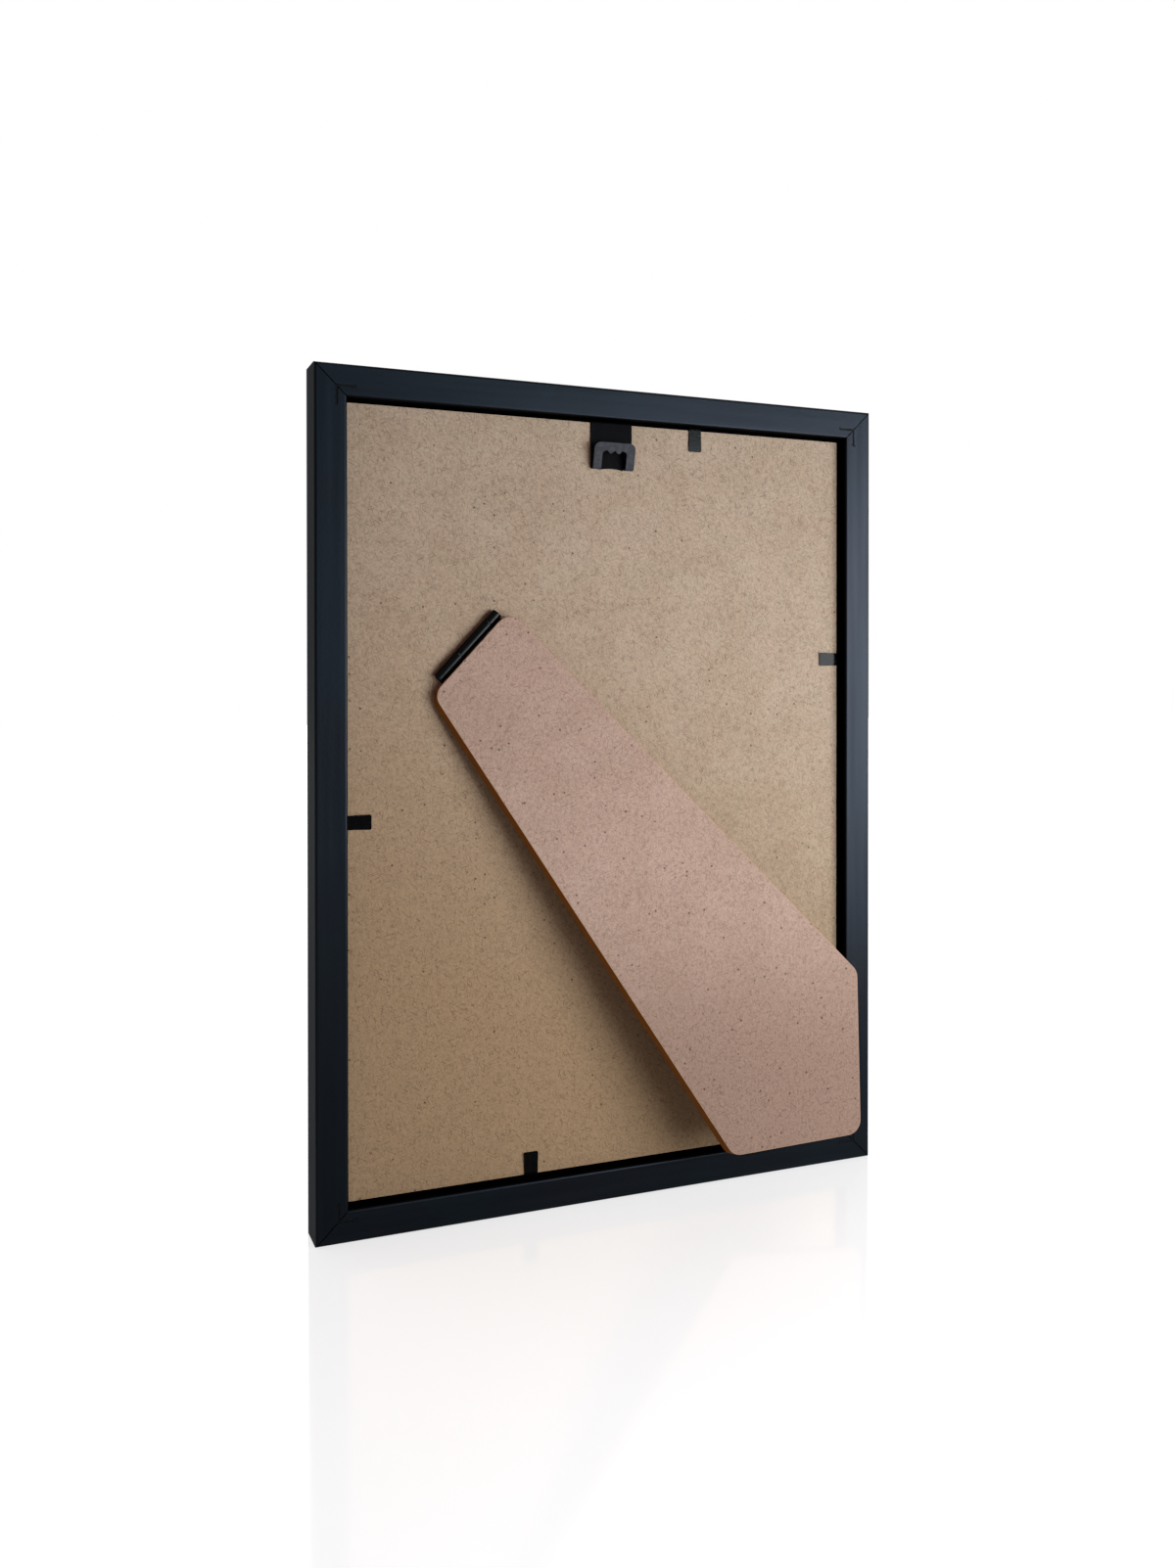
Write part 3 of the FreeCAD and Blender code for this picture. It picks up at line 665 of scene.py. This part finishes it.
class PHOTOFRAME_OT_tabs(bpy.types.Operator):
    """Enamel the retainer tabs and their shanks"""

    bl_idname = "photoframe.tabs"
    bl_label = "Retainer tabs"

    def execute(self, context):
        enamel = enamelled_steel("black_tab_enamel", "#010102", roughness=0.14, gloss=0.03)
        for side in SIDES:
            coat_node("retainer_tab_" + side, enamel)
            coat_node("tab_shank_" + side, enamel)
        return {"FINISHED"}


class PHOTOFRAME_OT_panels(bpy.types.Operator):
    """Finish the pane, the insert sheet and the backboard"""

    bl_idname = "photoframe.panels"
    bl_label = "Pane, sheet and backboard"

    def execute(self, context):
        finish = context.scene.photo_frame.hardboard
        coat_node("glass", float_glass())
        coat_node("insert_sheet", uncoated_paper())
        colours = (finish.board_pale, finish.board_dark, finish.board_lower_shade)
        coat_node("backboard", pressed_hardboard(
            "smooth_tan_hardboard", colours, felt=(0.22, 0.45, 0.2), finish=finish,
            downward=(0.5, 0, -1), span=(-0.27, -0.04), face=tuple(OUT_OF_BOARD),
        ))
        return {"FINISHED"}


class PHOTOFRAME_OT_leg(bpy.types.Operator):
    """Finish the leg, with its sawn edges and the painted shadow band along them"""

    bl_idname = "photoframe.leg"
    bl_label = "Leg"

    def execute(self, context):
        finish = context.scene.photo_frame.hardboard
        colours = (finish.leg_pale, finish.leg_dark, finish.leg_lower_shade)
        hardboard = pressed_hardboard(
            "sawn_pink_hardboard", colours, felt=(0.22, 0.32, 0.5), finish=finish,
            downward=(0, 0, -1), span=(-0.135, -0.045), face=tuple(leg_axes()[1]),
        )
        coat_node("easel_leg", hardboard)
        # The band along the leg's edge: the sawn edge, widened towards the foot by a painted shadow.
        grids = [leg_shadow_band_grid(finish.shadow_band_reach)]
        piece = sheet_piece("leg_cut_shadow_band", grids, SHADOW_BAND_THICKNESS, SHADOW_BAND_EDGE, (hardboard,))
        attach(piece, "leg")
        return {"FINISHED"}


class PHOTOFRAME_OT_hanger(bpy.types.Operator):
    """Enamel the folded hanger"""

    bl_idname = "photoframe.hanger"
    bl_label = "Hanger"

    def execute(self, context):
        shape = context.scene.photo_frame.hanger
        enamel = enamelled_steel("black_hanger_enamel", "#030305", roughness=0.6, gloss=0.012)
        steels = (enamel, phosphated_steel())
        piece = sheet_piece("folded_hanger", hanger_grids(shape), shape.thickness, STRIP_EDGE, steels)
        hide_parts("hanger")
        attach(piece, "frame")
        return {"FINISHED"}


class PHOTOFRAME_OT_hinge(bpy.types.Operator):
    """Enamel the hinge and finish its pin"""

    bl_idname = "photoframe.hinge"
    bl_label = "Hinge"

    def execute(self, context):
        shape = context.scene.photo_frame.hinge
        enamel = enamelled_steel("gloss_black_hinge_enamel", "#010102", roughness=0.16, gloss=0.045)
        half = shape.length / 2
        first = shape.first_break_share * shape.length - half
        second = shape.second_break_share * shape.length - half
        along, away, pin = leg_axes()
        outer_spans = [(-half, first - shape.gap), (second + shape.gap, half)]
        for name, body, spans, out, up in (
            ("hinge_board_leaf", "frame", outer_spans, OUT_OF_BOARD.cross(pin), OUT_OF_BOARD),
            ("hinge_leg_leaf", "leg", [(first, second)], along, away),
        ):
            grids = leaf_grids(shape, LEAF_LEVELS[name] * MM, spans, out, up, pin)
            piece = sheet_piece("curled_" + name, grids, shape.thickness, STRIP_EDGE, (enamel,))
            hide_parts(name)
            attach(piece, body)
        steel = bare_steel("drawn_pin_steel", "#77787C", "#26262A", roughness=0.35, metallic=1.0)
        coat_node("hinge_pin", steel)
        return {"FINISHED"}


class PHOTOFRAME_OT_stage(bpy.types.Operator):
    """Lay the tabletop, set the lamps and place the camera"""

    bl_idname = "photoframe.stage"
    bl_label = "Stage, light and camera"

    def execute(self, context):
        settings = context.scene.photo_frame.stage
        light_world(context.scene)
        light_lamps(settings, lay_tabletop(settings))
        place_camera(context.scene, settings)
        context.scene.view_settings.view_transform = "Standard"
        return {"FINISHED"}


class PHOTOFRAME_PT_sidebar(bpy.types.Panel):
    """Lists the steps that finish the frame"""

    bl_idname = "PHOTOFRAME_PT_sidebar"
    bl_label = "Photo frame"
    bl_space_type = "VIEW_3D"
    bl_region_type = "UI"
    bl_category = "Photo frame"

    def draw(self, context):
        for operator in OPERATORS:
            self.layout.operator(operator.bl_idname)
        looks = context.scene.photo_frame
        for group in (looks.moulding, looks.hardboard, looks.hanger, looks.hinge, looks.stage):
            box = self.layout.box()
            for name in group.__annotations__:
                box.prop(group, name)


PROPERTY_GROUPS = (MouldingFinish, HardboardFinish, HangerShape, HingeShape, StageSettings, FrameLooks)
OPERATORS = (
    PHOTOFRAME_OT_rails,
    PHOTOFRAME_OT_nails,
    PHOTOFRAME_OT_tabs,
    PHOTOFRAME_OT_panels,
    PHOTOFRAME_OT_leg,
    PHOTOFRAME_OT_hanger,
    PHOTOFRAME_OT_hinge,
    PHOTOFRAME_OT_stage,
)


def hanger_grids(shape):
    """The strip is drawn flat, as distance across it and along it, then bent along its path.

    Its grids are the plate with its flap, the tongue between the bracket's legs, and the bracket, in even
    bands from its window's outline out to its own. The teeth are a power of a sine."""
    low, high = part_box("hanger")
    board_low, board_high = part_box("backboard")
    thick, half = shape.thickness, (high[0] - low[0]) / 2
    quarter, fold_turn = math.pi / 2, math.pi - shape.lean
    bend = shape.bend_radius * quarter
    over = board_high[1] - board_low[1] - 2 * shape.bend_radius
    plate_y = board_high[1] + thick / 2
    top_z = high[2] - thick / 2
    fold_top = low[2] + thick / 2 + shape.fold_radius
    # How far the bracket stands out beyond its fold, and its length along the lean.
    outward = high[1] - thick / 2 - plate_y - shape.fold_radius * (1 + math.cos(shape.lean))
    leaning = outward / math.sin(shape.lean)
    runs = [
        (shape.flap, 0),
        (bend, -quarter),
        (over, 0),
        (bend, -quarter),
        (top_z - shape.bend_radius - fold_top, 0),
        (shape.fold_radius * fold_turn, fold_turn),
        (leaning, 0),
    ]
    distance, ends, path = walk(runs)
    # The walk starts along the first axis. Turned a quarter, that is up.
    across, up = -path[:, 1], path[:, 0]
    across += plate_y - np.interp(ends[5], distance, across)
    up += fold_top - np.interp(ends[5], distance, up)

    def bent(x, s):
        return np.stack([x, np.interp(s, distance, across), np.interp(s, distance, up)], axis=-1)

    def points(*places):
        return np.stack(np.broadcast_arrays(*places), axis=-1)

    join, fold_end, crest = ends[5], ends[6], ends[7]
    inner, radius, pitch = shape.window_width / 2, shape.corner_radius, shape.tooth_pitch
    notch = crest - shape.crest_band
    shoulder = notch - shape.shoulder_drop
    # Points along each part of the bracket's outlines, and along and across the grids.
    legs, corners, teeth, bands = 16, 8, 49, 7
    tongue_columns, tongue_rows, plate_rows = 15, 5, 150
    tooth_power, tongue_taper = 1.4, 0.04
    turn = np.linspace(0, quarter, corners)
    saw = np.linspace(-pitch, 0, teeth)
    tooth = np.abs(np.sin(saw / pitch * math.pi)) ** tooth_power
    inside = np.concatenate([
        points(-inner, np.linspace(join, fold_end, legs)),
        points(-inner, np.linspace(fold_end, shoulder, legs))[1:],
        points(-pitch - (inner - pitch) * np.cos(turn), shoulder + shape.shoulder_drop * np.sin(turn))[1:],
        points(saw, notch - shape.tooth_depth * tooth)[1:],
    ])
    outside = np.concatenate([
        points(-half, np.linspace(join, fold_end, legs)),
        points(-half, np.linspace(fold_end, crest - radius, legs))[1:],
        points(radius - half - radius * np.cos(turn), crest - radius + radius * np.sin(turn))[1:],
        points(np.linspace(radius - half, 0, teeth), crest)[1:],
    ])
    mirrored = np.array([-1, 1])
    inside = np.concatenate([inside, (inside * mirrored)[-2::-1]])
    outside = np.concatenate([outside, (outside * mirrored)[-2::-1]])
    shares = np.linspace(0, 1, bands)[:, None, None]
    flat = inside + (outside - inside) * shares
    bracket = bent(flat[..., 0], flat[..., 1])

    rim = np.linspace(-half, -inner, bands)
    middle = np.linspace(-inner, inner, tongue_columns)
    columns = np.concatenate([rim, middle[1:-1], -rim[::-1]])
    plate = bent(*np.meshgrid(columns, np.linspace(0, join, plate_rows)))

    depth = np.linspace(0, 1, tongue_rows)[:, None]
    drop = fold_top - low[2] - shape.scoop * (1 - (middle / inner) ** 2)
    tongue = points(middle * (1 - tongue_taper * depth), plate_y, fold_top - drop * depth)
    return plate, tongue, bracket


def leaf_grids(shape, level, spans, out, away, pin):
    """A leaf's plate at its level, and knuckles curled round the pin.

    A knuckle's profile steps down from the plate by three squares less two cubes of the way, and then
    turns round the pin at one radius. It is carried along each span of the pin."""
    plate_points, step_points, curl_points, span_points = 12, 10, 48, 9
    pivot = np.array(LEG_HINGE["pos_m"])
    radius = shape.knuckle_radius - shape.thickness / 2
    reach = np.linspace(shape.leaf_reach, shape.joggle, plate_points)
    step = np.linspace(shape.joggle, 0, step_points)
    ease = step / shape.joggle
    ease = ease * ease * (3 - 2 * ease)
    turned = np.linspace(0, shape.curl, curl_points)
    curl_out = np.concatenate([step, -radius * np.sin(turned[1:])])
    curl_up = np.concatenate([(level + radius) * ease - radius, -radius * np.cos(turned[1:])])
    breaks = sorted({-shape.length / 2, shape.length / 2, *(end for span in spans for end in span)})
    stations = np.unique([np.linspace(*ends, span_points) for ends in zip(breaks, breaks[1:])])

    def laid(profile_out, profile_up, places):
        return (
            pivot
            + profile_out[None, :, None] * np.array(out)
            + profile_up[None, :, None] * np.array(away)
            + places[:, None, None] * np.array(pin)
        )

    grids = [laid(reach, np.full(len(reach), level), stations)]
    for start, end in spans:
        inside = stations[(stations >= start - WELD) & (stations <= end + WELD)]
        grids.append(laid(curl_out, curl_up, inside))
    return grids


def leg_axes():
    """Directions at rest along the open leg, out of its face and down the hinge pin."""
    pin = Vector(LEG_HINGE["axis"]).normalized()
    opened = math.radians(-LEG_HINGE["range_deg"][0])
    along = OUT_OF_BOARD.cross(pin) * math.cos(opened) + OUT_OF_BOARD * math.sin(opened)
    return along, pin.cross(along), pin


def leg_shadow_band_grid(shadow_slant, corner_points=13):
    """The band along the leg's sawn edge, slanting out towards the foot as a painted shadow: from under
    its rim down to its foot, and back under the leg.

    A ring is the leg's outline pushed out. Each corner is an arc about its own centre, from one side's
    normal to the next one's, at the corner's radius plus what the two sides are pushed out by."""
    corners = np.array(LEG_CORNERS) * MM
    sides = np.roll(corners, -1, axis=0) - corners
    sides /= np.linalg.norm(sides, axis=1, keepdims=True)
    outward = np.stack([-sides[:, 1], sides[:, 0]], axis=-1)
    before = np.roll(outward, 1, axis=0)
    level = (before * outward).sum(axis=1)
    radius = LEG_CORNER_RADIUS * MM
    centres = corners - radius * (before + outward) / (1 + level)[:, None]
    start = np.arctan2(before[:, 1], before[:, 0])
    turn = np.arctan2(before[:, 0] * outward[:, 1] - before[:, 1] * outward[:, 0], level)
    share = np.linspace(0, 1, corner_points)
    angles = start[:, None] + turn[:, None] * share
    rays = np.stack([np.cos(angles), np.sin(angles)], axis=-1)
    banded_sides = np.array(SHADOW_BAND_SIDES)
    pushed = np.roll(banded_sides, 1)[:, None] * (1 - share) + banded_sides[:, None] * share
    pivot = np.array(LEG_HINGE["pos_m"])
    along, away, pin = [np.array(axis) for axis in leg_axes()]
    rows = []
    for reach, inset, height in SHADOW_BAND_RINGS:
        span = (radius + reach * shadow_slant * pushed - inset * MM)[..., None]
        ring = (centres[:, None, :] + span * rays).reshape(-1, 2)
        ring = np.concatenate([ring, ring[:1]])
        rows.append(pivot + ring[:, :1] * along + ring[:, 1:] * pin + height * MM * away)
    return np.stack(rows)


def lay_tabletop(settings):
    """A white gloss tabletop, made white to the eye and in gloss by a glow that grows outwards.

    Near the frame the glow is weaker, so that shadows and reflections stay."""
    material, tree, shader, texture = new_material("white_gloss_tabletop")
    shader.inputs["Base Color"].default_value = settings.table_white
    shader.inputs["Roughness"].default_value = 0.08
    shader.inputs["IOR"].default_value = 1.9
    shader.inputs["Emission Color"].default_value = (1, 1, 1, 1)
    away = add_node(tree, "ShaderNodeVectorMath", {0: texture.outputs["Object"]}, operation="LENGTH")
    glow = add_node(tree, "ShaderNodeMapRange", {
        "Value": away.outputs["Value"],
        "From Min": GLOW_START,
        "From Max": GLOW_FULL,
        "To Min": GLOW_LEAST,
        "To Max": 1.0,
    }, interpolation_type="SMOOTHSTEP")
    seen = add_node(tree, "ShaderNodeMath", {
        0: glow.outputs["Result"], 1: background_rays(tree),
    }, operation="MULTIPLY")
    tree.links.new(seen.outputs[0], shader.inputs["Emission Strength"])
    half = settings.table_width / 2
    below = CAD_BOX[0][2] - TABLE_GAP
    near = settings.table_edge
    mesh = bpy.data.meshes.new("tabletop")
    corners = [(-half, -half, below), (half, -half, below), (half, near, below), (-half, near, below)]
    mesh.from_pydata(corners, [], [(0, 1, 2, 3)])
    mesh.materials.append(material)
    tabletop = bpy.data.objects.new("tabletop", mesh)
    bpy.context.scene.collection.objects.link(tabletop)
    return tabletop


def background_rays(tree):
    """1 for the rays that show the white background: what the camera, gloss and clear glass see of it."""
    path = add_node(tree, "ShaderNodeLightPath")
    mirrored = add_node(tree, "ShaderNodeMath", {
        0: path.outputs["Is Glossy Ray"], 1: path.outputs["Is Transmission Ray"],
    }, operation="MAXIMUM")
    seen = add_node(tree, "ShaderNodeMath", {
        0: mirrored.outputs[0], 1: path.outputs["Is Camera Ray"],
    }, operation="MAXIMUM")
    return seen.outputs[0]


def light_world(scene):
    """White all round to the eye, in gloss and through glass.

    As light it is white above the far side, and dim and warm behind the camera."""
    world = bpy.data.worlds.new("white_studio")
    scene.world = world
    world.use_nodes = True
    tree = world.node_tree
    tree.nodes.clear()
    way = add_node(tree, "ShaderNodeTexCoord")
    parts = add_node(tree, "ShaderNodeSeparateXYZ", {"Vector": way.outputs["Generated"]})
    # Y runs from -1 on the far side to 1 behind the camera, and Z is 1 straight up.
    far = add_node(tree, "ShaderNodeMapRange", {
        "Value": parts.outputs["Y"], "From Min": 0.3, "From Max": -0.5,
    }, interpolation_type="SMOOTHSTEP")
    raised = add_node(tree, "ShaderNodeMapRange", {
        "Value": parts.outputs["Z"], "From Min": 0.1, "From Max": 0.4, "To Min": 0.12, "To Max": 0.9,
    }, interpolation_type="SMOOTHSTEP")
    least_light = 0.1
    lit = add_node(tree, "ShaderNodeMath", {
        0: far.outputs["Result"], 1: raised.outputs["Result"], 2: least_light,
    }, operation="MULTIPLY_ADD")
    seen = background_rays(tree)
    strength = add_node(tree, "ShaderNodeMath", {0: lit.outputs[0], 1: seen}, operation="MAXIMUM")
    white = add_node(tree, "ShaderNodeMath", {0: far.outputs["Result"], 1: seen}, operation="MAXIMUM")
    background = add_node(tree, "ShaderNodeBackground", {
        "Color": overlay(tree, linear("#FFA068"), (1, 1, 1, 1), white.outputs[0]),
        "Strength": strength.outputs[0],
    })
    add_node(tree, "ShaderNodeOutputWorld", {"Surface": background.outputs["Background"]})


def add_lamp(name, target, power, hex_colour="#FFFFFF"):
    """A soft box. The camera doesn't see it."""
    place, size = SOFT_BOXES[name]
    lamp = bpy.data.lights.new(name, "AREA")
    lamp.shape = "RECTANGLE"
    lamp.size, lamp.size_y = size
    lamp.energy = power
    lamp.color = linear(hex_colour)[:3]
    holder = bpy.data.objects.new(name, lamp)
    holder.location = place
    holder.rotation_euler = (Vector(target) - Vector(place)).to_track_quat("-Z", "Y").to_euler()
    holder.visible_camera = False
    bpy.context.scene.collection.objects.link(holder)
    return holder


def light_lamps(settings, tabletop):
    """A soft box right of the camera and one on the picture's side, which gloss doesn't mirror.

    Gloss alone shows two more: one above the first, and a wide cool one far behind it. Of the boxes, the
    tabletop gets the first one's light alone, so that it shows neither the others nor their shadows."""
    middle = (Vector(CAD_BOX[0]) + Vector(CAD_BOX[1])) / 2
    key = add_lamp("soft_box", middle, settings.key_power)
    front = add_lamp("front_box", middle, settings.front_power)
    sheen = add_lamp("sheen_box", middle, settings.sheen_power)
    cool = add_lamp("cool_box", middle, settings.cool_power, "#B8E6F0")
    key.visible_glossy = front.visible_glossy = False
    sheen.visible_diffuse = cool.visible_diffuse = False
    all_but_table = bpy.data.collections.new("all_but_the_tabletop")
    all_but_table.objects.link(tabletop)
    all_but_table.collection_objects[0].light_linking.link_state = "EXCLUDE"
    for lamp in (front, sheen, cool):
        lamp.light_linking.receiver_collection = all_but_table


def place_camera(scene, settings):
    """The photograph's view. The lens axis meets it off its centre, which the shift allows for."""
    data = bpy.data.cameras.new("photo_camera")
    data.sensor_width = FILM_WIDTH_MM
    data.lens = settings.lens
    data.shift_x = (PHOTO_WIDTH / 2 - AXIS_PIXEL_ACROSS) / PHOTO_HEIGHT
    data.shift_y = (AXIS_PIXEL_DOWN - PHOTO_HEIGHT / 2) / PHOTO_HEIGHT
    camera = bpy.data.objects.new("photo_camera", data)
    camera.location = settings.camera_place
    sight = Vector((
        math.sin(settings.camera_heading) * math.cos(settings.camera_dip),
        -math.cos(settings.camera_heading) * math.cos(settings.camera_dip),
        -math.sin(settings.camera_dip),
    ))
    camera.rotation_euler = sight.to_track_quat("-Z", "Y").to_euler()
    scene.collection.objects.link(camera)
    scene.camera = camera


def register():
    for group in PROPERTY_GROUPS:
        bpy.utils.register_class(group)
    for operator in OPERATORS:
        bpy.utils.register_class(operator)
    bpy.utils.register_class(PHOTOFRAME_PT_sidebar)
    bpy.types.Scene.photo_frame = PointerProperty(type=FrameLooks)


def unregister():
    del bpy.types.Scene.photo_frame
    bpy.utils.unregister_class(PHOTOFRAME_PT_sidebar)
    for operator in reversed(OPERATORS):
        bpy.utils.unregister_class(operator)
    for group in reversed(PROPERTY_GROUPS):
        bpy.utils.unregister_class(group)


def main():
    register()
    bpy.ops.photoframe.rails()
    bpy.ops.photoframe.nails()
    bpy.ops.photoframe.tabs()
    bpy.ops.photoframe.panels()
    bpy.ops.photoframe.leg()
    bpy.ops.photoframe.hanger()
    bpy.ops.photoframe.hinge()
    bpy.ops.photoframe.stage()


if __name__ == "__main__":
    main()
